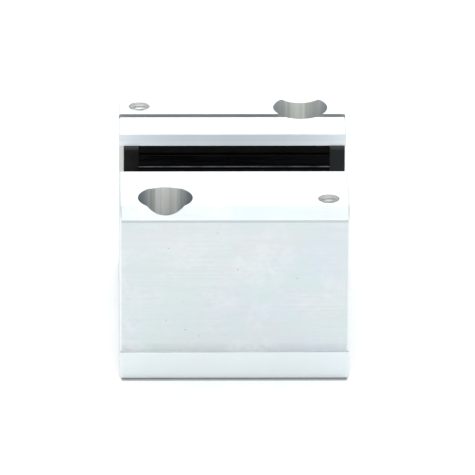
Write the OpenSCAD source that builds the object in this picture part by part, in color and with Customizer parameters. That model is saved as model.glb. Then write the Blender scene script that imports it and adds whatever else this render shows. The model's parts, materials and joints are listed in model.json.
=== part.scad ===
// Linear guide carriage: an aluminium block with a rail channel in its top and, under each
// channel lip, a cassette that carries two recirculating ball circuits.
// X runs along the rail, Z points up out of the mounting face, and the origin is the centre
// of that mounting face. The front cassette is the rear one turned half round about Z.

/* [Block] */
// Length along the rail
body_l = 64; // [62.5:0.1:80]
// Width over the two reference edges
body_d = 80; // [79:0.1:90]
// Height over the raised pads
body_h = 51.5; // [48:0.1:60]
// Bevel along the two long top edges
top_bevel = 3; // [1:0.1:4]
// How far the raised pads stand above the channel lips
pad_step = 0.2; // [0.1:0.1:1]
// Distance from the centre plane to the inner edge of a raised pad
pad_inner_y = 24.6; // [24:0.1:25]
// Width of the groove along the inner edge of the rear pad
pad_groove_w = 1.9; // [1:0.1:2.2]
// Depth of that groove below the channel lips
pad_groove_depth = 2; // [0.5:0.1:4]
// Break on the long bottom edges
bottom_break = 0.3; // [0.2:0.1:1]
// Break round the outer edges of the two ends
end_break = 0.5; // [0.2:0.1:0.8]

/* [Reference edge] */
// Height of the ground reference edge above the mounting face
edge_h = 8.1; // [5:0.1:12]
// How far the reference edge stands proud of the side
edge_proud = 0.35; // [0.1:0.05:0.6]
// Height of the relief groove above the reference edge
relief_h = 0.8; // [0.4:0.1:1.5]
// Depth of the relief groove below the side
relief_depth = 0.35; // [0.2:0.05:0.8]

/* [Rail channel] */
// Width between the two channel lips
channel_w = 25.6; // [25:0.1:26.5]
// Depth of the channel floor below the lips' top
channel_depth = 24.5; // [24:0.1:28]
// Thickness of the channel lips
lip_t = 3.6; // [3:0.1:4]

/* [Mounting holes] */
// Diameter of the deep counterbore for a socket head screw
cbore_d = 15.3; // [14:0.1:16]
// Height of the counterbore's seat above the mounting face
seat_h = 30; // [15:0.5:35]
// Diameter of the through hole for an M8 screw
screw_hole_d = 9; // [8.4:0.1:9.5]
// Distance of the counterbore from the block's middle along the rail
cbore_x = 19.3; // [15:0.1:22]
// Distance of the counterbore from the centre plane
cbore_y = 31; // [31:0.1:32]
// Diameter of the M6 threaded hole
thread_d = 6; // [5:0.1:6]
// Depth of the M6 threaded hole
thread_depth = 16; // [10:0.5:24]
// Distance of the threaded hole from the block's middle along the rail
thread_x = 26.2; // [24:0.1:27]
// Distance of the threaded hole from the centre plane
thread_y = 31.8; // [30:0.1:33]

/* [Balls] */
// Ball diameter
ball_d = 3; // [2.9:0.01:3]
// Spacing of the balls along their path
ball_pitch = 3.36; // [3.35:0.01:3.38]
// Balls in each straight row
row_balls = 16; // [12:1:16]
// Balls in each half turn
turn_balls = 2; // [2:1:2]
// Distance of the loaded balls' centres from the centre plane
load_y = 12.6; // [12.5:0.05:12.7]
// Depth of the upper loaded row below the lips' top
upper_drop = 13.3; // [13.2:0.1:13.5]
// Drop from the upper loaded row to the lower one
row_drop = 6; // [5.8:0.1:6.1]
// Radial clearance round the balls in the raceways and retainers
race_clear = 0.06; // [0.04:0.01:0.08]
// Radial clearance round the balls in the return path
return_clear = 0.1; // [0.08:0.01:0.12]

/* [Cassette] */
// Distance of the retainers' faces from the centre plane
retainer_y = 11.9; // [11.8:0.05:12]
// Distance of the raceway insert's face from the centre plane
insert_y = 13.35; // [13.3:0.05:13.4]
// Distance of the insert's shoulder from the centre plane
shoulder_y = 15.6; // [15.5:0.05:15.8]
// Distance of the insert's back from the centre plane
insert_back_y = 20; // [19.6:0.1:20.2]
// Top of the insert's shoulder below the lips' top
shoulder_top = 2.4; // [2.2:0.1:2.6]
// Bottom of the insert's shoulder below the lips' top
shoulder_bottom = 22.8; // [22.4:0.1:23]
// Top of the retainers and of the insert's face below the lips' top
face_top = 6.1; // [6:0.05:6.2]
// Bottom of the retainers and of the insert's face below the lips' top
face_bottom = 21.8; // [21.6:0.1:22]
// Length of each end cap along the rail
cap_l = 4.2; // [4.2:0.05:4.4]
// How far the cassette sits off the middle of the block, along the rail
cassette_shift = 0.45; // [0:0.05:0.8]
// Assembly gap between neighbouring cassette parts
gap = 0.03; // [0.01:0.01:0.05]

/* [Retainer wire] */
// Wire diameter
wire_d = 0.45; // [0.3:0.05:0.5]
// Depth of the wire below the lips' top
wire_drop = 9.75; // [9.6:0.05:10]
// Top of the wire's groove below the lips' top
groove_top = 8.85; // [8.6:0.05:9]
// Bottom of the wire's groove below the lips' top
groove_bottom = 10.7; // [10.4:0.05:11]
// Depth of the wire's groove into the upper retainer
groove_depth = 0.55; // [0.5:0.05:0.7]

/* [Small hardware] */
// Diameter of the end cap screws
cap_screw_d = 2.5; // [2:0.1:2.5]
// Diameter of the end cap screws' heads
cap_screw_head_d = 4.5; // [3.8:0.1:4.5]
// Height of the end cap screws' heads
cap_screw_head_h = 1.5; // [1.2:0.1:1.6]
// Reach of the end cap screws into the insert
cap_screw_reach = 5; // [4:0.5:8]
// Diameter of the end cap dowels
dowel_d = 1.5; // [1.2:0.1:1.6]
// Length of the end cap dowels
dowel_l = 6; // [5:0.5:8]
// Diameter of the grease ports
port_d = 5; // [4:0.1:5]
// Depth of the grease ports
port_depth = 9; // [8:0.5:12]
// Length of the grease port plugs
plug_l = 4.5; // [4:0.5:6]

/* [Hidden] */
$fn = 64;

// Heights and widths of the block
lip_top_z = body_h - pad_step;
side_y = body_d / 2 - edge_proud;
lip_y = channel_w / 2;
floor_z = lip_top_z - channel_depth;
pad_groove_z = lip_top_z - pad_groove_depth;
pad_groove_y = pad_inner_y + pad_groove_w;
through = 1;

// Ball path: two straight rows joined by half turns of an exact number of pitches
ball_r = ball_d / 2;
race_r = ball_r + race_clear;
path_r = ball_r + return_clear;
row_l = row_balls * ball_pitch;
turn_r = turn_balls * ball_pitch / PI;
turn_y = load_y + turn_r;
return_y = load_y + 2 * turn_r;
lower_drop = upper_drop + row_drop;
row_drops = [upper_drop, lower_drop];

// Cassette
cassette_l = row_l + 2 * cap_l;
tube_wall = 0.4;
tube_r = path_r + tube_wall;
seal_top = lip_t + gap;
seal_bottom = 5.7;
seal_lead_y = lip_y - 0.1;
seal_tip_y = 12.05;
seal_tip_top = 5.25;
seal_tip_break = 0.15;
seal_heel_y = insert_y + 0.4;
seal_back_y = shoulder_y - gap;
wire_y = retainer_y + groove_depth - wire_d / 2;
ball_slot_h = 1;

// Cap fasteners, placed clear of both turns
cap_screw_y = 17.3;
cap_screw_drop = 8.4;
dowel_y = 14.5;
dowel_drop = (upper_drop + lower_drop) / 2;
thread_slack = 0.02;
cap_socket_d = 2.3;
cap_socket_depth = 0.8;

// Grease ports below the pockets
port_y = 17.3;
port_z = floor_z - 4;
feed_d = 2;
feed_x = 7;
plug_sink = 0.3;
plug_socket_d = 2.9;
plug_socket_depth = 2.2;

aluminium = [0.86, 0.88, 0.89];
hardened_steel = [0.55, 0.56, 0.58];
ball_steel = [0.78, 0.79, 0.8];
black_plastic = [0.05, 0.05, 0.06];
grey_plastic = [0.16, 0.16, 0.17];
black_rubber = [0.07, 0.07, 0.08];
clear_plastic = [0.75, 0.72, 0.62];
dark_screw = [0.2, 0.2, 0.21];

// ---- helpers ----

// Extrudes an outline drawn in Y and Z along the rail, centred on the middle of the row
module along_rail(length) {
    rotate([90, 0, 90]) translate([0, 0, -length / 2]) linear_extrude(length) children();
}

// A rod along the rail through a point in Y and Z, from x0 on
module rail_rod(r, length, x0, y, z) {
    translate([x0, y, z]) rotate([0, 90, 0]) cylinder(r = r, h = length);
}

// Places a cassette part, drawn for the middle of the block, under the rear lip
module on_rear() {
    translate([cassette_shift, 0, lip_top_z]) children();
}

// Places the same part under the front lip
module on_front() {
    rotate([0, 0, 180]) on_rear() children();
}

// Places an end part, drawn for the right-hand end, at the cassette's left-hand end
module at_left() {
    mirror([1, 0, 0]) children();
}

// ---- block ----

// The outside of one half in Y and Z: the foot, the side up to the raised pad, and the lip's top
foot_run = [
    [body_d / 2 - bottom_break, 0],
    [body_d / 2, bottom_break],
    [body_d / 2, edge_h]
];
side_run = [
    [side_y, edge_h + relief_h],
    [side_y, body_h - top_bevel],
    [side_y - top_bevel, body_h]
];
lip_run = [
    [pad_inner_y, lip_top_z],
    [lip_y, lip_top_z]
];
relief_run = [
    [side_y - relief_depth, edge_h],
    [side_y - relief_depth, edge_h + relief_h]
];
plain_pad = [[pad_inner_y, body_h]];
grooved_pad = [
    [pad_groove_y, body_h],
    [pad_groove_y, pad_groove_z],
    [pad_inner_y, pad_groove_z]
];

// The pocket for the cassette, from the lip's underside down to the channel floor
pocket_run = [
    [lip_y, lip_top_z - lip_t],
    [shoulder_y, lip_top_z - lip_t],
    [shoulder_y, lip_top_z - shoulder_top],
    [insert_back_y, lip_top_z - shoulder_top],
    [insert_back_y, lip_top_z - shoulder_bottom],
    [shoulder_y, lip_top_z - shoulder_bottom],
    [shoulder_y, lip_top_z - face_bottom],
    [lip_y, lip_top_z - face_bottom],
    [lip_y, floor_z]
];

function half_outline(pad) = concat(foot_run, relief_run, side_run, pad, lip_run, pocket_run);

function mirrored(points) = [
    for (i = [len(points) - 1 : -1 : 0]) [-points[i][0], points[i][1]]
];

// Takes a 45 degree break off the right-hand end of each edge in a run of the outline
module break_end(run) {
    last = len(run) - 2;
    for (i = [0 : last]) {
        along = run[i + 1] - run[i];
        before = i > 0 ? end_break : 0;
        after = i < last ? end_break : 0;
        translate([body_l / 2, run[i][0], run[i][1]])
            rotate([atan2(along[1], along[0]), 0, 0])
                translate([0, norm(along) + after, 0])
                    rotate([90, 0, 0])
                        linear_extrude(before + norm(along) + after) polygon([
                            [-end_break - through, -through],
                            [through, -through],
                            [through, end_break + through]
                        ]);
    }
}

module end_breaks() {
    for (end = [0, 1], side = [0, 1]) mirror([end, 0, 0]) mirror([0, side, 0]) {
        break_end(concat([[0, 0]], foot_run));
        break_end(relief_run);
        break_end(concat(side_run, plain_pad));
        break_end(lip_run);
    }
}

module counterbored_hole() {
    translate([-cbore_x, -cbore_y, -through])
        cylinder(d = screw_hole_d, h = body_h + 2 * through);
    translate([-cbore_x, -cbore_y, seat_h])
        cylinder(d = cbore_d, h = body_h - seat_h + through);
}

module threaded_hole() {
    translate([thread_x, -thread_y, body_h - thread_depth])
        cylinder(d = thread_d, h = thread_depth + through);
}

module grease_port() {
    rail_rod(port_d / 2, port_depth + through, -body_l / 2 - through, port_y, port_z);
    translate([-body_l / 2 + feed_x, port_y, port_z])
        cylinder(d = feed_d, h = lip_top_z - shoulder_bottom - port_z + through);
}

module housing() {
    color(aluminium) difference() {
        along_rail(body_l)
            polygon(concat(half_outline(grooved_pad), mirrored(half_outline(plain_pad))));
        end_breaks();
        for (turn = [0, 180]) rotate([0, 0, turn]) {
            counterbored_hole();
            threaded_hole();
            grease_port();
        }
    }
}

// ---- cassette ----

module raceway_insert() {
    color(hardened_steel) difference() {
        along_rail(row_l) polygon([
            [insert_y, -face_top],
            [shoulder_y, -face_top],
            [shoulder_y, -shoulder_top - gap],
            [insert_back_y - gap, -shoulder_top - gap],
            [insert_back_y - gap, -shoulder_bottom + gap],
            [shoulder_y + gap, -shoulder_bottom + gap],
            [shoulder_y + gap, -face_bottom + gap],
            [insert_y, -face_bottom + gap]
        ]);
        for (drop = row_drops) {
            rail_rod(race_r, row_l + 2 * through, -row_l / 2 - through, load_y, -drop);
            rail_rod(tube_r, row_l + 2 * through, -row_l / 2 - through, return_y, -drop);
        }
        for (end = [0, 1]) mirror([end, 0, 0]) {
            rail_rod(cap_screw_d / 2 + thread_slack, cap_screw_reach + 2 * through,
                row_l / 2 - cap_screw_reach - through, cap_screw_y, -cap_screw_drop);
            rail_rod(dowel_d / 2 + thread_slack, dowel_l / 2 + 2 * through,
                row_l / 2 - dowel_l / 2 - through, dowel_y, -dowel_drop);
        }
    }
}

// A strip between the two end caps, cleared for the balls that pass it
module retainer_strip(top, bottom) {
    color(black_plastic) difference() {
        along_rail(row_l) polygon([
            [retainer_y, -top], [insert_y, -top], [insert_y, -bottom], [retainer_y, -bottom]
        ]);
        for (drop = row_drops)
            rail_rod(race_r, row_l + 2 * through, -row_l / 2 - through, load_y, -drop);
    }
}

module retainer_upper() {
    difference() {
        retainer_strip(face_top, upper_drop - ball_slot_h / 2);
        along_rail(row_l + 2 * through) polygon([
            [retainer_y - through, -groove_top],
            [retainer_y + groove_depth, -groove_top],
            [retainer_y + groove_depth, -groove_bottom],
            [retainer_y - through, -groove_bottom]
        ]);
    }
}

module retainer_middle() {
    retainer_strip(upper_drop + ball_slot_h / 2, lower_drop - ball_slot_h / 2);
}

module retainer_lower() {
    retainer_strip(lower_drop + ball_slot_h / 2, face_bottom);
}

module side_seal() {
    color(black_rubber) along_rail(row_l) polygon([
        [seal_lead_y, -seal_top],
        [seal_back_y, -seal_top],
        [seal_back_y, -face_top],
        [seal_heel_y, -face_top],
        [seal_heel_y, -seal_bottom],
        [seal_tip_y + seal_tip_break, -seal_bottom],
        [seal_tip_y, -seal_bottom + seal_tip_break],
        [seal_tip_y, -seal_tip_top]
    ]);
}

module retainer_wire() {
    color(ball_steel) rail_rod(wire_d / 2, row_l, -row_l / 2, wire_y, -wire_drop);
}

// The right-hand end cap, with a half-turn passage for each circuit
module end_cap() {
    color(grey_plastic) difference() {
        translate([row_l / 2 + cap_l / 2, 0, 0]) along_rail(cap_l) polygon([
            [retainer_y, -seal_top],
            [shoulder_y + gap, -seal_top],
            [shoulder_y + gap, -shoulder_top - gap],
            [insert_back_y - gap, -shoulder_top - gap],
            [insert_back_y - gap, -shoulder_bottom + gap],
            [shoulder_y + gap, -shoulder_bottom + gap],
            [shoulder_y + gap, -face_bottom + gap],
            [retainer_y, -face_bottom + gap]
        ]);
        for (drop = row_drops)
            translate([row_l / 2, turn_y, -drop])
                rotate_extrude() translate([turn_r, 0]) circle(r = path_r);
        rail_rod(cap_screw_d / 2 + thread_slack, cap_l + 2 * through,
            row_l / 2 - through, cap_screw_y, -cap_screw_drop);
        rail_rod(cap_screw_head_d / 2 + thread_slack, cap_screw_head_h + through,
            row_l / 2 + cap_l - cap_screw_head_h, cap_screw_y, -cap_screw_drop);
        rail_rod(dowel_d / 2 + thread_slack, dowel_l / 2 + through,
            row_l / 2 - through, dowel_y, -dowel_drop);
    }
}

module return_tube(drop) {
    color(clear_plastic) difference() {
        rail_rod(tube_r - thread_slack, row_l, -row_l / 2, return_y, -drop);
        rail_rod(path_r, row_l + 2 * through, -row_l / 2 - through, return_y, -drop);
    }
}

// ---- balls ----

module ball() {
    color(ball_steel) sphere(r = ball_r);
}

// A straight row: each ball sits half a pitch inside its own stretch of the path
module ball_row(y, drop) {
    for (i = [0 : row_balls - 1])
        translate([(i + 0.5) * ball_pitch - row_l / 2, y, -drop]) ball();
}

// The balls in the right-hand half turn, spread evenly round it
module ball_turn(drop) {
    for (i = [0 : turn_balls - 1])
        translate([row_l / 2, turn_y, -drop])
            rotate([0, 0, -90 + 180 * (i + 0.5) / turn_balls])
                translate([turn_r, 0, 0]) ball();
}

// ---- small hardware ----

module cap_screw() {
    head_x = row_l / 2 + cap_l - cap_screw_head_h;
    color(dark_screw) difference() {
        union() {
            rail_rod(cap_screw_head_d / 2, cap_screw_head_h, head_x, cap_screw_y, -cap_screw_drop);
            rail_rod(cap_screw_d / 2, head_x - row_l / 2 + cap_screw_reach,
                row_l / 2 - cap_screw_reach, cap_screw_y, -cap_screw_drop);
        }
        translate([row_l / 2 + cap_l - cap_socket_depth, cap_screw_y, -cap_screw_drop])
            rotate([0, 90, 0]) cylinder(d = cap_socket_d, h = cap_socket_depth + through, $fn = 6);
    }
}

module cap_dowel() {
    color(hardened_steel)
        rail_rod(dowel_d / 2, dowel_l, row_l / 2 - dowel_l / 2, dowel_y, -dowel_drop);
}

module both_ends() {
    children();
    at_left() children();
}

module end_cap_screws() {
    on_rear() both_ends() cap_screw();
    on_front() both_ends() cap_screw();
}

module end_cap_dowels() {
    on_rear() both_ends() cap_dowel();
    on_front() both_ends() cap_dowel();
}

module grease_plugs() {
    color(dark_screw) for (turn = [0, 180]) rotate([0, 0, turn]) difference() {
        rail_rod(port_d / 2, plug_l, plug_sink - body_l / 2, port_y, port_z);
        translate([plug_sink - through - body_l / 2, port_y, port_z])
            rotate([0, 90, 0]) cylinder(d = plug_socket_d, h = plug_socket_depth + through, $fn = 6);
    }
}

// ---- one module per placed part ----

module raceway_insert_rear() { on_rear() raceway_insert(); }
module raceway_insert_front() { on_front() raceway_insert(); }
module retainer_upper_rear() { on_rear() retainer_upper(); }
module retainer_upper_front() { on_front() retainer_upper(); }
module retainer_middle_rear() { on_rear() retainer_middle(); }
module retainer_middle_front() { on_front() retainer_middle(); }
module retainer_lower_rear() { on_rear() retainer_lower(); }
module retainer_lower_front() { on_front() retainer_lower(); }
module side_seal_rear() { on_rear() side_seal(); }
module side_seal_front() { on_front() side_seal(); }
module retainer_wire_rear() { on_rear() retainer_wire(); }
module retainer_wire_front() { on_front() retainer_wire(); }
module end_cap_rear_right() { on_rear() end_cap(); }
module end_cap_rear_left() { on_rear() at_left() end_cap(); }
module end_cap_front_left() { on_front() end_cap(); }
module end_cap_front_right() { on_front() at_left() end_cap(); }
module return_tube_rear_upper() { on_rear() return_tube(upper_drop); }
module return_tube_rear_lower() { on_rear() return_tube(lower_drop); }
module return_tube_front_upper() { on_front() return_tube(upper_drop); }
module return_tube_front_lower() { on_front() return_tube(lower_drop); }
module load_balls_rear_upper() { on_rear() ball_row(load_y, upper_drop); }
module load_balls_rear_lower() { on_rear() ball_row(load_y, lower_drop); }
module load_balls_front_upper() { on_front() ball_row(load_y, upper_drop); }
module load_balls_front_lower() { on_front() ball_row(load_y, lower_drop); }
module return_balls_rear_upper() { on_rear() ball_row(return_y, upper_drop); }
module return_balls_rear_lower() { on_rear() ball_row(return_y, lower_drop); }
module return_balls_front_upper() { on_front() ball_row(return_y, upper_drop); }
module return_balls_front_lower() { on_front() ball_row(return_y, lower_drop); }
module turn_balls_rear_upper_right() { on_rear() ball_turn(upper_drop); }
module turn_balls_rear_upper_left() { on_rear() at_left() ball_turn(upper_drop); }
module turn_balls_rear_lower_right() { on_rear() ball_turn(lower_drop); }
module turn_balls_rear_lower_left() { on_rear() at_left() ball_turn(lower_drop); }
module turn_balls_front_upper_left() { on_front() ball_turn(upper_drop); }
module turn_balls_front_upper_right() { on_front() at_left() ball_turn(upper_drop); }
module turn_balls_front_lower_left() { on_front() ball_turn(lower_drop); }
module turn_balls_front_lower_right() { on_front() at_left() ball_turn(lower_drop); }

housing();
raceway_insert_rear();
raceway_insert_front();
retainer_upper_rear();
retainer_upper_front();
retainer_middle_rear();
retainer_middle_front();
retainer_lower_rear();
retainer_lower_front();
side_seal_rear();
side_seal_front();
retainer_wire_rear();
retainer_wire_front();
end_cap_rear_right();
end_cap_rear_left();
end_cap_front_left();
end_cap_front_right();
return_tube_rear_upper();
return_tube_rear_lower();
return_tube_front_upper();
return_tube_front_lower();
load_balls_rear_upper();
load_balls_rear_lower();
load_balls_front_upper();
load_balls_front_lower();
return_balls_rear_upper();
return_balls_rear_lower();
return_balls_front_upper();
return_balls_front_lower();
turn_balls_rear_upper_right();
turn_balls_rear_upper_left();
turn_balls_rear_lower_right();
turn_balls_rear_lower_left();
turn_balls_front_upper_left();
turn_balls_front_upper_right();
turn_balls_front_lower_left();
turn_balls_front_lower_right();
end_cap_screws();
end_cap_dowels();
grease_plugs();
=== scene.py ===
"""Looks for a linear guide carriage: materials, edge breaks, thread ridges, light and camera.

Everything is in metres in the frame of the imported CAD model: X along the rail, Y across it towards
the rear, Z up out of the mounting face.
"""

import json
import math
from types import SimpleNamespace

import bmesh
import bpy
from mathutils import Matrix, Vector


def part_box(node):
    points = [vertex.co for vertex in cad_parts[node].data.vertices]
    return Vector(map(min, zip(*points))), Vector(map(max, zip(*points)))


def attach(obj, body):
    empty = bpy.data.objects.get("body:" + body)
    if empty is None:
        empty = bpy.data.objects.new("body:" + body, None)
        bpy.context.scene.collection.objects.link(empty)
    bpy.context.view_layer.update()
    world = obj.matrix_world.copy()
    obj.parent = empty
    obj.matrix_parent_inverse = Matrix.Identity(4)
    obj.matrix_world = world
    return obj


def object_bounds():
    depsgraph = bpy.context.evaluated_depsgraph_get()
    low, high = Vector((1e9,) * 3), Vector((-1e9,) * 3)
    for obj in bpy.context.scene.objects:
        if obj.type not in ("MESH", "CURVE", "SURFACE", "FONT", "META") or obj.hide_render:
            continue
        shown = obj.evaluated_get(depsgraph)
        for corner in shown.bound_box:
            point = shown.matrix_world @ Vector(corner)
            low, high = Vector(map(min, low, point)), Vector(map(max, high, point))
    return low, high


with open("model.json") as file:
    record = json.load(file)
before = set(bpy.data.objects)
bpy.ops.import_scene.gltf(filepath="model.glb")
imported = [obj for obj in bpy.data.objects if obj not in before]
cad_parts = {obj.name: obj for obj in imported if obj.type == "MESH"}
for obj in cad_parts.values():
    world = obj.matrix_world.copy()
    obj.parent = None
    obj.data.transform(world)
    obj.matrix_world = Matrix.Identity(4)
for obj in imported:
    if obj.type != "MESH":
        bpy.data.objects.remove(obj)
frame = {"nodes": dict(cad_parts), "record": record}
CAD_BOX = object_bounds()
MM = 0.001


# ---- sizes taken from the frame ----

def mount(name):
    """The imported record's mount of that name."""
    return next(m for m in frame["record"]["mounts"] if m["name"] == name)


_, HOUSING_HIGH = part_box("housing")
_, SEAL_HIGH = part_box("side_seal_rear")
BODY_H = HOUSING_HIGH.z
FOOT_EDGE_Y = HOUSING_HIGH.y     # plane of the ground reference edge
LIP_UNDERSIDE = SEAL_HIGH.z      # the seals lie against the underside of the channel lips
EDGE_H = 8.1 * MM                # height of the ground reference edge
EDGE_PROUD = 0.35 * MM           # how far it stands proud of the side
SIDE_Y = FOOT_EDGE_Y - EDGE_PROUD    # plane of the side above it
RELIEF_TOP = 8.9 * MM            # top of the relief groove above it
TOP_BEVEL = 3.0 * MM             # bevel along the top edges
COUNTERBORE_R = 7.65 * MM
THREAD_PITCH = 1.0 * MM          # M6 coarse thread
THREAD_R = 3.0 * MM
THREAD_HEIGHT = 0.12 * MM
THREAD_START = 0.9 * MM          # depth at which the first full ridge begins
PAD_GROOVE = (24.6 * MM, 26.5 * MM)    # the groove along the rear pad, from the centre plane
FOOT_BREAK = 0.3 * MM            # break on the long bottom edges
POCKET_START = 13.2 * MM         # where the pockets begin behind the channel lips
CHANNEL_REACH = 20.2 * MM        # how far the channel and its pockets reach from the centre plane
SHADING_REACH = 20.0 * MM        # shading that varies from front to rear does so within this
SCREW_MOUNTS = ("screw_hole_front_left", "screw_hole_rear_right")
THREAD_MOUNTS = ("thread_front_right", "thread_rear_left")


# ---- building shaders ----

# a Mix node has a set of sockets for each kind of value, told apart by their numbers only
MIX_VECTOR_INPUTS, MIX_VECTOR_OUTPUT = (4, 5), 1
MIX_COLOUR_INPUTS, MIX_COLOUR_OUTPUT = (6, 7), 2


class Shader:
    """A Principled material and short calls for the nodes that feed it."""

    def __init__(self, name, metallic, specular=0.5):
        self.material = bpy.data.materials.new(name)
        self.material.use_nodes = True
        self.nodes = self.material.node_tree.nodes
        self.links = self.material.node_tree.links
        self.bsdf = self.nodes["Principled BSDF"]
        self.bsdf.inputs["Metallic"].default_value = metallic
        self.bsdf.inputs["Specular IOR Level"].default_value = specular
        coords = self.nodes.new("ShaderNodeTexCoord")
        self.place = coords.outputs["Object"]
        self.facing = coords.outputs["Normal"]

    def feed(self, socket, value):
        """Links a node's output to the socket, or sets a plain value on it."""
        if isinstance(value, bpy.types.NodeSocket):
            self.links.new(value, socket)
        else:
            socket.default_value = value

    def node(self, kind, **settings):
        """Adds a node and sets its properties."""
        made = self.nodes.new(kind)
        for key, value in settings.items():
            setattr(made, key, value)
        return made

    def math(self, operation, a, b=0.0):
        """The result of one math node."""
        made = self.node("ShaderNodeMath", operation=operation)
        self.feed(made.inputs[0], a)
        self.feed(made.inputs[1], b)
        return made.outputs[0]

    def split(self, vector):
        """The three components of a vector."""
        made = self.node("ShaderNodeSeparateXYZ")
        self.feed(made.inputs[0], vector)
        return made.outputs[0], made.outputs[1], made.outputs[2]

    def stretch(self, x, y, z):
        """Object coordinates multiplied axis by axis: cells per metre along each."""
        made = self.node("ShaderNodeVectorMath", operation="MULTIPLY")
        self.feed(made.inputs[0], self.place)
        made.inputs[1].default_value = (x, y, z)
        return made.outputs[0]

    def mix(self, data_type, inputs, output, mask, values):
        """Mixes two values of one kind by a mask."""
        made = self.node("ShaderNodeMix", data_type=data_type)
        self.feed(made.inputs[0], mask)
        for index, value in zip(inputs, values):
            self.feed(made.inputs[index], value)
        return made.outputs[output]

    def choose(self, mask, where_off, where_on):
        """Mixes two vectors by a mask."""
        return self.mix("VECTOR", MIX_VECTOR_INPUTS, MIX_VECTOR_OUTPUT, mask, (where_off, where_on))

    def tint(self, mask, where_off, where_on):
        """Mixes two colours by a mask."""
        return self.mix("RGBA", MIX_COLOUR_INPUTS, MIX_COLOUR_OUTPUT, mask, (where_off, where_on))

    def noise(self, vector, detail=3.0, roughness=0.55):
        """Fractal noise, mostly between 0.3 and 0.7."""
        made = self.node("ShaderNodeTexNoise")
        self.feed(made.inputs["Vector"], vector)
        made.inputs["Scale"].default_value = 1.0
        made.inputs["Detail"].default_value = detail
        made.inputs["Roughness"].default_value = roughness
        return made.outputs["Fac"]

    def cells(self, vector):
        """Distance to the nearest of a scatter of points, one in each cell."""
        made = self.node("ShaderNodeTexVoronoi")
        self.feed(made.inputs["Vector"], vector)
        made.inputs["Scale"].default_value = 1.0
        return made.outputs["Distance"]

    def remap(self, value, low, high, to_low=0.0, to_high=1.0):
        """Maps low..high to to_low..to_high, clamped at both ends."""
        made = self.node("ShaderNodeMapRange")
        self.feed(made.inputs["Value"], value)
        made.inputs["From Min"].default_value = low
        made.inputs["From Max"].default_value = high
        made.inputs["To Min"].default_value = to_low
        made.inputs["To Max"].default_value = to_high
        return made.outputs["Result"]

    def falls(self, value, low, high):
        """1 up to low, 0 from high on."""
        return self.remap(value, low, high, 1.0, 0.0)

    def times(self, *values):
        """The product of masks and numbers."""
        product = values[0]
        for value in values[1:]:
            product = self.math("MULTIPLY", product, value)
        return product

    def band(self, value, low, high, soft):
        """1 between low and high, with soft shoulders."""
        rise = self.remap(value, low - soft, low)
        fall = self.falls(value, high, high + soft)
        return self.times(rise, fall)

    def edges(self, radius):
        """1 along sharp edges, found as the places where a rounded normal leaves the true one."""
        rounded = self.node("ShaderNodeBevel", samples=4)
        rounded.inputs["Radius"].default_value = radius
        true = self.node("ShaderNodeNewGeometry")
        dot = self.node("ShaderNodeVectorMath", operation="DOT_PRODUCT")
        self.feed(dot.inputs[0], rounded.outputs[0])
        self.feed(dot.inputs[1], true.outputs["Normal"])
        return self.falls(dot.outputs["Value"], 0.85, 0.995)

    def layer(self, colour, tints):
        """Lays tints over a colour, in order, each given as (mask, strength, colour)."""
        for mask, strength, where_on in tints:
            colour = self.tint(self.times(strength, mask), colour, where_on)
        return colour

    def bump(self, height, distance, strength=1.0, under=None):
        """A normal raised by a height field, over another normal if one is given."""
        made = self.node("ShaderNodeBump")
        self.feed(made.inputs["Height"], height)
        made.inputs["Distance"].default_value = distance
        made.inputs["Strength"].default_value = strength
        if under is not None:
            self.feed(made.inputs["Normal"], under)
        return made.outputs["Normal"]

    def finish(self, colour, roughness, normal=None):
        """Feeds the shader and returns the material."""
        self.feed(self.bsdf.inputs["Base Color"], colour)
        self.feed(self.bsdf.inputs["Roughness"], roughness)
        if normal is not None:
            self.feed(self.bsdf.inputs["Normal"], normal)
        return self.material


def shade(base, factor):
    """A colour made lighter or darker."""
    return tuple(channel * factor for channel in base) + (1.0,)


# ---- materials ----

def near_axis(s, name, radius):
    """1 on the walls of a round hole along Z."""
    x, y, _ = mount(name)["pos_m"]
    px, py, _ = s.split(s.place)
    dx = s.math("SUBTRACT", px, x)
    dy = s.math("SUBTRACT", py, y)
    away = s.math("SQRT", s.math("ADD", s.math("MULTIPLY", dx, dx), s.math("MULTIPLY", dy, dy)))
    return s.falls(away, radius + 0.05 * MM, radius + 0.08 * MM)


def comes_to(s, value, plane):
    """1 where a distance has come to within a hair of the plane, and past it."""
    return s.remap(value, plane - 0.1 * MM, plane - 0.02 * MM)


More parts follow.
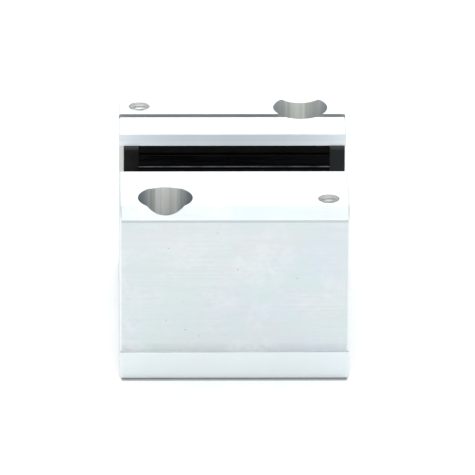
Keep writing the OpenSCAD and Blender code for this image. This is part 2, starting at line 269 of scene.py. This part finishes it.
def aluminium_regions(s):
    """Masks for the machined areas of the block, by place and by the way each one faces."""
    at = SimpleNamespace()
    _, y, z = s.split(s.place)
    facing_x, _, facing_z = s.split(s.facing)
    nx, nz = s.math("ABSOLUTE", facing_x), s.math("ABSOLUTE", facing_z)
    out = s.math("ABSOLUTE", y)
    upright = s.falls(nz, 0.15, 0.3)
    lengthwise = s.falls(nx, 0.5, 0.6)
    strictly_lengthwise = s.falls(nx, 0.1, 0.2)

    def front_to_rear(front, rear):
        return s.remap(y, -SHADING_REACH, SHADING_REACH, front, rear)

    # ends, edges and the reference edge along the foot, with painted light on the breaks and partly on the
    # reference edge, and painted shade under the foot
    at.on_end = s.remap(nx, 0.85, 0.95)
    # painted highlight: the breaks on the ends are made lighter
    at.end_break = s.band(nx, 0.62, 0.80, 0.08)
    # painted highlight: the top bevel is made lighter where it faces up
    at.top_bevel = s.times(s.band(facing_z, 0.62, 0.80, 0.08), strictly_lengthwise)
    # painted shade: the break under the foot is made dark, like a contact shadow
    at.under_foot = s.times(s.falls(z, FOOT_BREAK, FOOT_BREAK * 1.02),
                            s.falls(facing_z, -0.6, -0.5))
    # lighter reference edge: partly its ground finish, partly painted light
    at.on_edge_band = s.times(comes_to(s, out, FOOT_EDGE_Y), s.falls(z, EDGE_H, EDGE_H + 0.05 * MM))

    # counterbores and threaded holes, with painted light and shade on their walls
    screw_holes = s.math("ADD", *(near_axis(s, name, COUNTERBORE_R) for name in SCREW_MOUNTS))
    at.in_hole = s.times(s.math("MINIMUM", 1.0, screw_holes), upright)
    # painted shade: sideways-facing counterbore walls are darker, more so at the front
    at.hole_flank = s.times(at.in_hole, s.remap(nx, 0.38, 0.95), front_to_rear(0.98, 0.65))
    at.in_thread = s.math("ADD", *(near_axis(s, name, THREAD_R) for name in THREAD_MOUNTS))
    # painted shade: the threaded holes' sideways-facing walls are darker
    at.thread_flank = s.times(at.in_thread, s.remap(nx, 0.6, 1.0))
    # painted shade: ridge flanks facing up are darkened against their highlight, more at the front
    at.thread_top = s.times(at.in_thread, s.remap(facing_z, 0.1, 0.3), front_to_rear(0.7, 0.1))

    # the rail channel, the pockets behind its lips, and the groove along the rear pad: the channel and
    # pockets get painted light, the groove painted shade
    at.in_channel = s.times(upright, s.falls(out, CHANNEL_REACH, CHANNEL_REACH + 0.1 * MM), lengthwise)
    # painted light: the pockets' back walls are made light, as if lit from their open ends
    at.in_pocket = s.times(at.in_channel, s.remap(out, POCKET_START, POCKET_START + 0.1 * MM))
    # painted highlight: a lighter band at the foot of the lip wall
    at.lip_foot = s.times(at.in_channel, s.band(z, LIP_UNDERSIDE, LIP_UNDERSIDE + 1.0 * MM, 0.9 * MM))
    # painted shade: the groove along the rear pad is made dark
    at.in_pad_groove = s.times(upright, s.band(y, *PAD_GROOVE, 0.05 * MM), lengthwise)

    # painted shade in a band above the relief groove, and a painted dark line where the side meets the top
    # bevel
    bevel_foot = BODY_H - TOP_BEVEL
    at.dust = s.times(s.band(z, RELIEF_TOP, RELIEF_TOP + 1.2 * MM, 0.9 * MM), strictly_lengthwise)
    # painted shade: a thin dark line along the foot of the top bevel
    at.lap = s.times(comes_to(s, out, SIDE_Y),
                     s.band(z, bevel_foot - 0.75 * MM, bevel_foot - 0.15 * MM, 0.12 * MM))
    return at


def aluminium_tool_marks(s, at):
    """Coarse and fine marks: along the rail on the sides and tops, across the ends, up the hole walls."""
    def marks(along, across_end, up_hole, detail):
        outside = s.choose(at.on_end, s.stretch(*along), s.stretch(*across_end))
        return s.noise(s.choose(at.in_hole, outside, s.stretch(*up_hole)), detail)

    coarse = marks((28, 1700, 1700), (1700, 35, 1500), (900, 900, 12), 2.5)
    fine = marks((90, 6500, 6500), (6500, 120, 6000), (4200, 4200, 60), 3.0)
    return coarse, fine


def aluminium_hole_streaks(s, at):
    """Bright and dark streaks that the reamer left up the counterbores' walls."""
    reamed = s.noise(s.stretch(480, 480, 5), 2.5)
    scored = s.noise(s.stretch(760, 760, 6), 2.0)
    bright = s.times(at.in_hole, s.falls(scored, 0.40, 0.50))
    dark = s.math("MAXIMUM", s.times(0.5, s.remap(reamed, 0.54, 0.62)), s.remap(scored, 0.54, 0.63))
    return bright, s.times(at.in_hole, dark)


def aluminium_handling(s):
    """Etched dashes, clouded anodising, scuffs, pale drying marks, dark specks and worn edges."""
    on = SimpleNamespace()
    on.etch = s.noise(s.stretch(480, 1300, 1300), 3.0, 0.65)
    on.cloud = s.noise(s.stretch(45, 60, 60), 3.0)
    on.green_cloud = s.remap(s.noise(s.stretch(95, 120, 120), 2.0), 0.45, 0.6)
    on.warm_cloud = s.remap(s.noise(s.stretch(70, 90, 75), 2.0), 0.5, 0.62)
    on.scuffs = s.times(s.remap(s.noise(s.stretch(75, 80, 85), 2.0), 0.50, 0.66),
                        s.remap(s.noise(s.stretch(600, 800, 800), 3.0), 0.40, 0.64))
    ragged = s.times(0.5, s.noise(s.stretch(420, 480, 480), 2.0))
    drops = s.math("ADD", s.cells(s.stretch(190, 215, 215)), ragged)
    on.drop_marks = s.times(s.band(drops, 0.42, 0.60, 0.16),
                            s.remap(s.noise(s.stretch(80, 80, 80), 1.0), 0.50, 0.64))
    on.specks = s.times(s.falls(s.cells(s.stretch(190, 230, 230)), 0.045, 0.075),
                        s.remap(s.noise(s.stretch(110, 110, 110), 1.0), 0.46, 0.52))
    rubbed = s.remap(s.noise(s.stretch(500, 900, 900), 2.0), 0.35, 0.6, 0.45, 1.0)
    on.wear = s.times(s.edges(0.25 * MM), rubbed)
    return on


def machined_aluminium():
    """Anodised aluminium: tool marks and handling, with light and shade painted into its holes, channel,
    groove, edges and foot.
    """
    side_metallic, channel_metallic = 0.72, 0.3
    s = Shader("machined_aluminium", metallic=side_metallic)
    base = (0.620, 0.660, 0.672)
    at = aluminium_regions(s)
    on = aluminium_handling(s)
    coarse, fine = aluminium_tool_marks(s, at)
    bright_streaks, dark_streaks = aluminium_hole_streaks(s, at)

    colour = s.tint(s.remap(coarse, 0.3, 0.7), shade(base, 0.95), shade(base, 1.04))
    colour = s.layer(colour, (
        (s.falls(on.etch, 0.30, 0.42), 0.5, shade(base, 0.86)),
        (s.remap(on.etch, 0.56, 0.70), 0.5, shade(base, 1.14)),
        (s.remap(on.cloud, 0.38, 0.62), 0.6, (0.560, 0.637, 0.697, 1.0)),
        (on.green_cloud, 0.5, (0.582, 0.665, 0.640, 1.0)),
        (on.warm_cloud, 0.5, (0.628, 0.638, 0.655, 1.0)),
        # painted shade: a darker band above the relief groove
        (at.dust, 0.35, shade(base, 0.72)),
        (on.scuffs, 0.42, (0.74, 0.76, 0.78, 1.0)),
        (on.drop_marks, 0.2, (0.74, 0.77, 0.78, 1.0)),
        (on.specks, 0.4, shade(base, 0.45)),
        # painted highlight on the top bevel
        (at.top_bevel, 0.2, (0.72, 0.755, 0.765, 1.0)),
        # painted highlight on the end breaks
        (at.end_break, 0.6, (0.88, 0.90, 0.91, 1.0)),
        # reference edge lighter: ground finish and painted light
        (at.on_edge_band, 0.75, (0.745, 0.80, 0.815, 1.0)),
        # painted light: the counterbore walls are made lighter
        (at.in_hole, 1.0, (0.85, 0.89, 0.84, 1.0)),
        (bright_streaks, 1.0, (1.0, 1.0, 0.97, 1.0)),
        (dark_streaks, 0.5, (0.58, 0.57, 0.52, 1.0)),
        # painted shade on the counterbores' side walls
        (at.hole_flank, 1.0, (0.17, 0.205, 0.265, 1.0)),
        # painted light: the threaded holes' walls are made lighter
        (at.in_thread, 1.0, (0.99, 1.0, 0.99, 1.0)),
        # painted shade on the threaded holes' side walls
        (at.thread_flank, 0.6, (0.50, 0.51, 0.51, 1.0)),
        # painted shade on the thread ridges' upper flanks
        (at.thread_top, 1.0, (0.58, 0.59, 0.58, 1.0)),
        # painted shade in the groove along the rear pad
        (at.in_pad_groove, 1.0, (0.43, 0.44, 0.445, 1.0)),
        # painted shade under the foot
        (at.under_foot, 1.0, (0.22, 0.23, 0.235, 1.0)),
        # painted light: the channel walls are made lighter
        (at.in_channel, 0.9, (0.80, 0.865, 0.925, 1.0)),
        # painted highlight at the foot of the lip wall
        (at.lip_foot, 0.6, (0.94, 0.98, 1.0, 1.0)),
        # painted light on the pockets' back walls
        (at.in_pocket, 1.0, (0.99, 1.0, 0.97, 1.0)),
        # painted shade: the thin dark line at the foot of the top bevel
        (at.lap, 0.42, shade(base, 0.5)),
        (on.wear, 0.6, (0.80, 0.82, 0.83, 1.0)),
    ))

    rough = s.math("ADD", s.remap(fine, 0.3, 0.7, 0.36, 0.50), s.times(0.12, on.scuffs))
    rough = s.math("SUBTRACT", rough, s.times(0.08, on.wear))
    normal = s.bump(coarse, 0.012 * MM, 0.7)
    normal = s.bump(fine, 0.004 * MM, 0.7, normal)
    normal = s.bump(on.cloud, 0.05 * MM, 0.3, normal)
    dull = s.math("MAXIMUM", at.in_channel, s.times(0.6, at.in_hole))
    s.feed(s.bsdf.inputs["Metallic"], s.remap(dull, 0.0, 1.0, side_metallic, channel_metallic))
    return s.finish(colour, rough, normal)


def hardened_steel():
    """Ground along the rail, with a faint blue from hardening."""
    s = Shader("hardened_steel", metallic=1.0)
    ground = s.noise(s.stretch(40, 4200, 4200), 3.0)
    blue = s.remap(s.noise(s.stretch(60, 90, 90), 2.0), 0.4, 0.7)
    colour = s.tint(s.remap(ground, 0.3, 0.7), (0.40, 0.41, 0.43, 1.0), (0.56, 0.57, 0.59, 1.0))
    colour = s.tint(s.times(0.25, blue), colour, (0.36, 0.38, 0.46, 1.0))
    colour = s.tint(s.times(0.6, s.edges(0.15 * MM)), colour, (0.72, 0.72, 0.73, 1.0))
    rough = s.remap(ground, 0.3, 0.7, 0.24, 0.38)
    return s.finish(colour, rough, s.bump(ground, 0.004 * MM, 0.6))


def ball_steel():
    """Polished, under a thin uneven film of grease."""
    s = Shader("ball_steel", metallic=1.0)
    haze = s.noise(s.stretch(900, 900, 900), 3.0)
    film = s.remap(s.noise(s.stretch(240, 240, 240), 2.0), 0.45, 0.7)
    colour = s.tint(s.times(0.5, film), (0.70, 0.71, 0.73, 1.0), (0.52, 0.50, 0.44, 1.0))
    rough = s.math("ADD", s.remap(haze, 0.3, 0.7, 0.05, 0.11), s.times(0.08, film))
    return s.finish(colour, rough, s.bump(haze, 0.002 * MM, 0.3))


def spring_wire():
    """Drawn wire, dulled in patches."""
    s = Shader("spring_wire", metallic=1.0)
    drawn = s.noise(s.stretch(60, 9000, 9000), 2.0)
    dull = s.noise(s.stretch(260, 900, 900), 2.0)
    colour = s.tint(s.remap(dull, 0.35, 0.65), (0.055, 0.055, 0.058, 1.0), (0.12, 0.12, 0.124, 1.0))
    rough = s.remap(drawn, 0.3, 0.7, 0.26, 0.40)
    return s.finish(colour, rough, s.bump(drawn, 0.002 * MM, 0.5))


def black_retainer():
    """A smooth moulding with faint flow lines along it and a painted highlight on its edges."""
    s = Shader("black_retainer", metallic=0.0, specular=0.08)
    flow = s.noise(s.stretch(70, 1400, 1400), 3.0)
    grain = s.noise(s.stretch(5200, 5200, 5200), 2.0)
    colour = s.tint(s.remap(flow, 0.35, 0.65), (0.001, 0.001, 0.0014, 1.0), (0.003, 0.003, 0.004, 1.0))
    # painted highlight along the edges
    colour = s.tint(s.times(0.3, s.edges(0.12 * MM)), colour, (0.012, 0.012, 0.014, 1.0))
    rough = s.remap(flow, 0.3, 0.7, 0.22, 0.36)
    normal = s.bump(grain, 0.003 * MM, 0.5, s.bump(flow, 0.01 * MM, 0.4))
    return s.finish(colour, rough, normal)


def black_rubber():
    """Satin rubber with a slight bloom."""
    s = Shader("black_rubber", metallic=0.0, specular=0.04)
    bloom = s.noise(s.stretch(300, 700, 700), 3.0)
    grain = s.noise(s.stretch(7000, 7000, 7000), 2.0)
    colour = s.tint(s.remap(bloom, 0.4, 0.7), (0.0008, 0.0008, 0.001, 1.0), (0.003, 0.003, 0.004, 1.0))
    rough = s.remap(bloom, 0.3, 0.7, 0.38, 0.55)
    return s.finish(colour, rough, s.bump(grain, 0.004 * MM, 0.6))


def grey_plastic():
    """A grained moulding, cooler towards the right end, with a painted highlight along its top under the
    lip.
    """
    s = Shader("grey_plastic", metallic=0.0, specular=0.12)
    grain = s.noise(s.stretch(4200, 4200, 4200), 2.0)
    patch = s.noise(s.stretch(220, 220, 220), 3.0)
    x, _, z = s.split(s.place)
    cool = s.remap(x, -10 * MM, 25 * MM)
    # painted highlight: a lighter band along the top, just under the lip
    rub = s.band(z, LIP_UNDERSIDE - 0.6 * MM, LIP_UNDERSIDE, 0.3 * MM)
    colour = s.tint(s.remap(patch, 0.40, 0.60), (0.0025, 0.0025, 0.0023, 1.0), (0.0085, 0.008, 0.008, 1.0))
    colour = s.tint(s.times(0.8, cool), colour, (0.016, 0.0185, 0.020, 1.0))
    colour = s.tint(s.times(0.8, rub), colour, (0.042, 0.045, 0.050, 1.0))
    colour = s.tint(s.times(0.5, s.edges(0.15 * MM)), colour, (0.050, 0.052, 0.053, 1.0))
    rough = s.remap(grain, 0.3, 0.7, 0.44, 0.6)
    return s.finish(colour, rough, s.bump(grain, 0.01 * MM, 0.6))


def natural_plastic():
    """Milky plastic, slightly clouded."""
    s = Shader("natural_plastic", metallic=0.0)
    cloud = s.noise(s.stretch(300, 500, 500), 3.0)
    grain = s.noise(s.stretch(3500, 3500, 3500), 2.0)
    colour = s.tint(s.remap(cloud, 0.35, 0.65), (0.62, 0.59, 0.50, 1.0), (0.74, 0.71, 0.62, 1.0))
    return s.finish(colour, s.remap(grain, 0.3, 0.7, 0.35, 0.5), s.bump(grain, 0.005 * MM, 0.5))


def black_screw():
    """Turned steel with black oxide, worn bright on its edges."""
    s = Shader("black_screw", metallic=0.75)
    oxide = s.noise(s.stretch(1500, 1500, 1500), 3.0)
    turned = s.noise(s.stretch(200, 5000, 5000), 2.0)
    colour = s.tint(s.remap(oxide, 0.35, 0.65), (0.018, 0.018, 0.020, 1.0), (0.045, 0.044, 0.046, 1.0))
    colour = s.tint(s.times(0.7, s.edges(0.12 * MM)), colour, (0.24, 0.24, 0.25, 1.0))
    rough = s.remap(turned, 0.3, 0.7, 0.30, 0.46)
    return s.finish(colour, rough, s.bump(oxide, 0.006 * MM, 0.5))


MAKERS = (machined_aluminium, hardened_steel, ball_steel, spring_wire, black_retainer,
          black_rubber, grey_plastic, natural_plastic, black_screw)
MATERIALS = {maker.__name__: maker() for maker in MAKERS}


# ---- CAD nodes: materials and edge breaks ----

EDGE_BREAKS = {                   # metres, by material slot; balls have no edges
    "machined_aluminium": 0.09 * MM,
    "hardened_steel": 0.10 * MM,
    "black_retainer": 0.12 * MM,
    "black_rubber": 0.12 * MM,
    "grey_plastic": 0.16 * MM,
    "black_screw": 0.10 * MM,
}
SAME_POINT = 0.001 * MM              # vertices closer than this are one
FLAT_WITHIN = math.radians(0.5)      # facets that differ by less are one flat face
SHARP_FROM = math.radians(35)        # edges that turn by more are rounded


def break_edges(obj, width):
    """Rounds a CAD node's sharp edges with modifiers, leaving its own mesh as it is."""
    weld = obj.modifiers.new("weld", "WELD")
    weld.merge_threshold = SAME_POINT
    flat = obj.modifiers.new("merge_flats", "DECIMATE")
    flat.decimate_type = "DISSOLVE"
    flat.angle_limit = FLAT_WITHIN
    bevel = obj.modifiers.new("edge_break", "BEVEL")
    bevel.width = width
    bevel.segments = 3
    bevel.limit_method = "ANGLE"
    bevel.angle_limit = SHARP_FROM
    bevel.use_clamp_overlap = False
    obj.modifiers.new("normals", "WEIGHTED_NORMAL")
    for polygon in obj.data.polygons:
        polygon.use_smooth = True


def dress_cad_nodes():
    """Gives every CAD node its slot's material and edge break."""
    slots = {part["node"]: part["material_slot"] for part in frame["record"]["subparts"]}
    for name, obj in frame["nodes"].items():
        slot = slots[name]
        obj.data.materials.clear()
        obj.data.materials.append(MATERIALS[slot])
        if slot in EDGE_BREAKS:
            break_edges(obj, EDGE_BREAKS[slot])


# ---- thread ridges ----

def add_object(name, mesh):
    """Turns a finished bmesh into an object in the scene."""
    data_block = bpy.data.meshes.new(name)
    mesh.to_mesh(data_block)
    mesh.free()
    obj = bpy.data.objects.new(name, data_block)
    bpy.context.scene.collection.objects.link(obj)
    return obj


def ridge_rings(mesh, x, y, wall_r, depth):
    """The ridge's section at each step down its helix, thinning to nothing at both ends."""
    steps_per_turn = 48
    thinning_steps = 0.6 * steps_per_turn
    bottom_gap = 1.5 * MM
    base_r = wall_r + 0.02 * MM      # the foot of the ridge is sunk into the wall
    half_foot, half_crest = 0.46 * THREAD_PITCH, 0.08 * THREAD_PITCH
    last = int((depth - bottom_gap) / THREAD_PITCH) * steps_per_turn
    rings = []
    for step in range(last + 1):
        angle = 2 * math.pi * step / steps_per_turn
        z = BODY_H - THREAD_START - THREAD_PITCH * step / steps_per_turn
        fullness = min(1.0, step / thinning_steps, (last - step + 1) / thinning_steps)
        crest_r = wall_r - THREAD_HEIGHT * fullness
        section = ((base_r, half_foot), (crest_r, half_crest), (crest_r, -half_crest), (base_r, -half_foot))
        rings.append([mesh.verts.new((x + r * math.cos(angle), y + r * math.sin(angle), z + rise))
                      for r, rise in section])
    return rings


def thread_ridge(name, mount_name):
    """A helical ridge on the wall of a threaded hole, running out below its mouth."""
    data = mount(mount_name)
    x, y, _ = data["pos_m"]
    mesh = bmesh.new()
    rings = ridge_rings(mesh, x, y, data["dims"]["r_mm"] * MM, data["dims"]["length_mm"] * MM)
    for a, b in zip(rings, rings[1:]):
        for k in range(len(a)):
            j = (k + 1) % len(a)
            mesh.faces.new((a[k], a[j], b[j], b[k]))
    mesh.faces.new(list(reversed(rings[0])))
    mesh.faces.new(rings[-1])
    bmesh.ops.recalc_face_normals(mesh, faces=mesh.faces)
    obj = add_object(name, mesh)
    obj.data.materials.append(MATERIALS["machined_aluminium"])
    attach(obj, "carriage")


# ---- floor, light and camera ----

def floor_paper():
    """White paper that glows a little, with a contact shade along the block's long bottom edges."""
    s = Shader("floor_paper", metallic=0.0, specular=0.2)
    tooth = s.noise(s.stretch(900, 900, 900), 2.0)
    colour = s.tint(s.remap(tooth, 0.3, 0.7), (0.81, 0.81, 0.81, 1.0), (0.85, 0.85, 0.85, 1.0))
    x, y, _ = s.split(s.place)
    beside = s.band(s.math("ABSOLUTE", y), FOOT_EDGE_Y - 0.1 * MM, FOOT_EDGE_Y + 0.8 * MM, 0.7 * MM)
    along = s.band(s.math("ABSOLUTE", x), 0.0, HOUSING_HIGH.x - 0.8 * MM, 0.6 * MM)
    colour = s.tint(s.times(beside, along), colour, (0.25, 0.26, 0.265, 1.0))
    s.bsdf.inputs["Emission Color"].default_value = (1.0, 1.0, 1.0, 1.0)
    s.bsdf.inputs["Emission Strength"].default_value = 0.10
    return s.finish(colour, 0.75)


def floor():
    half_width = 8.0
    below_block = 0.02 * MM
    mesh = bmesh.new()
    bmesh.ops.create_grid(mesh, x_segments=2, y_segments=2, size=half_width)
    obj = add_object("floor", mesh)
    obj.location.z = -below_block
    obj.data.materials.append(floor_paper())


def soft_light(name, place, target, size, power):
    """A rectangular lamp that faces the target."""
    data = bpy.data.lights.new(name, "AREA")
    data.shape = "RECTANGLE"
    data.size, data.size_y = size
    data.energy = power
    lamp = bpy.data.objects.new(name, data)
    lamp.location = place
    lamp.rotation_euler = (Vector(target) - Vector(place)).to_track_quat("-Z", "Y").to_euler()
    bpy.context.scene.collection.objects.link(lamp)


def lights():
    middle = (0.0, 0.0, 0.03)
    soft_light("overhead", (0.0, 0.25, 1.3), middle, (1.6, 1.2), 14.0)
    soft_light("back", (0.0, 1.6, 0.9), middle, (2.2, 1.0), 14.0)
    soft_light("front", (0.0, -1.3, 1.1), middle, (1.8, 1.0), 15.0)


def pale_cove():
    """A world that is brighter towards the horizon than overhead, where the lamps take over."""
    at_horizon, overhead = 1.05, 0.42
    faded_from = 0.45                # sine of the height from which it has faded
    world = bpy.data.worlds.new("studio")
    bpy.context.scene.world = world
    world.use_nodes = True
    tree = world.node_tree
    coords = tree.nodes.new("ShaderNodeTexCoord")
    height = tree.nodes.new("ShaderNodeSeparateXYZ")
    fade = tree.nodes.new("ShaderNodeMapRange")
    tree.links.new(coords.outputs["Generated"], height.inputs[0])
    tree.links.new(height.outputs["Z"], fade.inputs["Value"])
    fade.inputs["From Max"].default_value = faded_from
    fade.inputs["To Min"].default_value = at_horizon
    fade.inputs["To Max"].default_value = overhead
    background = tree.nodes["Background"]
    background.inputs["Color"].default_value = (0.97, 0.99, 1.0, 1.0)
    tree.links.new(fade.outputs["Result"], background.inputs["Strength"])


def camera():
    """A long lens, 24.4 degrees above the horizon and turned a touch to the right."""
    distance = 3.89
    elevation = math.radians(24.407)
    turn = math.radians(0.850)
    roll = math.radians(0.275)
    aim_side, aim_up = 1.295 * MM, -0.501 * MM
    image_px_per_m = 3557.0
    image_px = 475

    ahead = Vector((math.sin(turn) * math.cos(elevation), math.cos(turn) * math.cos(elevation),
                    -math.sin(elevation)))
    level = Vector((math.cos(turn), -math.sin(turn), 0.0))
    upward = level.cross(ahead)
    right = level * math.cos(roll) + upward * math.sin(roll)
    up = upward * math.cos(roll) - level * math.sin(roll)
    middle = Vector((0.0, 0.0, (CAD_BOX[0][2] + CAD_BOX[1][2]) / 2))
    place = middle - ahead * distance + right * aim_side + up * aim_up

    data = bpy.data.cameras.new("camera")
    data.sensor_width = 36.0
    data.lens = image_px_per_m * distance / image_px * data.sensor_width
    data.clip_start = 0.1
    data.clip_end = 30.0
    obj = bpy.data.objects.new("camera", data)
    axes = Matrix((right, up, -ahead)).transposed().to_4x4()
    obj.matrix_world = Matrix.Translation(place) @ axes
    bpy.context.scene.collection.objects.link(obj)
    bpy.context.scene.camera = obj


def main():
    bpy.context.scene.view_settings.view_transform = "Standard"
    dress_cad_nodes()
    for label, mount_name in zip(("front", "rear"), THREAD_MOUNTS):
        thread_ridge("m6_thread_" + label, mount_name)
    floor()
    lights()
    pale_cove()
    camera()


main()
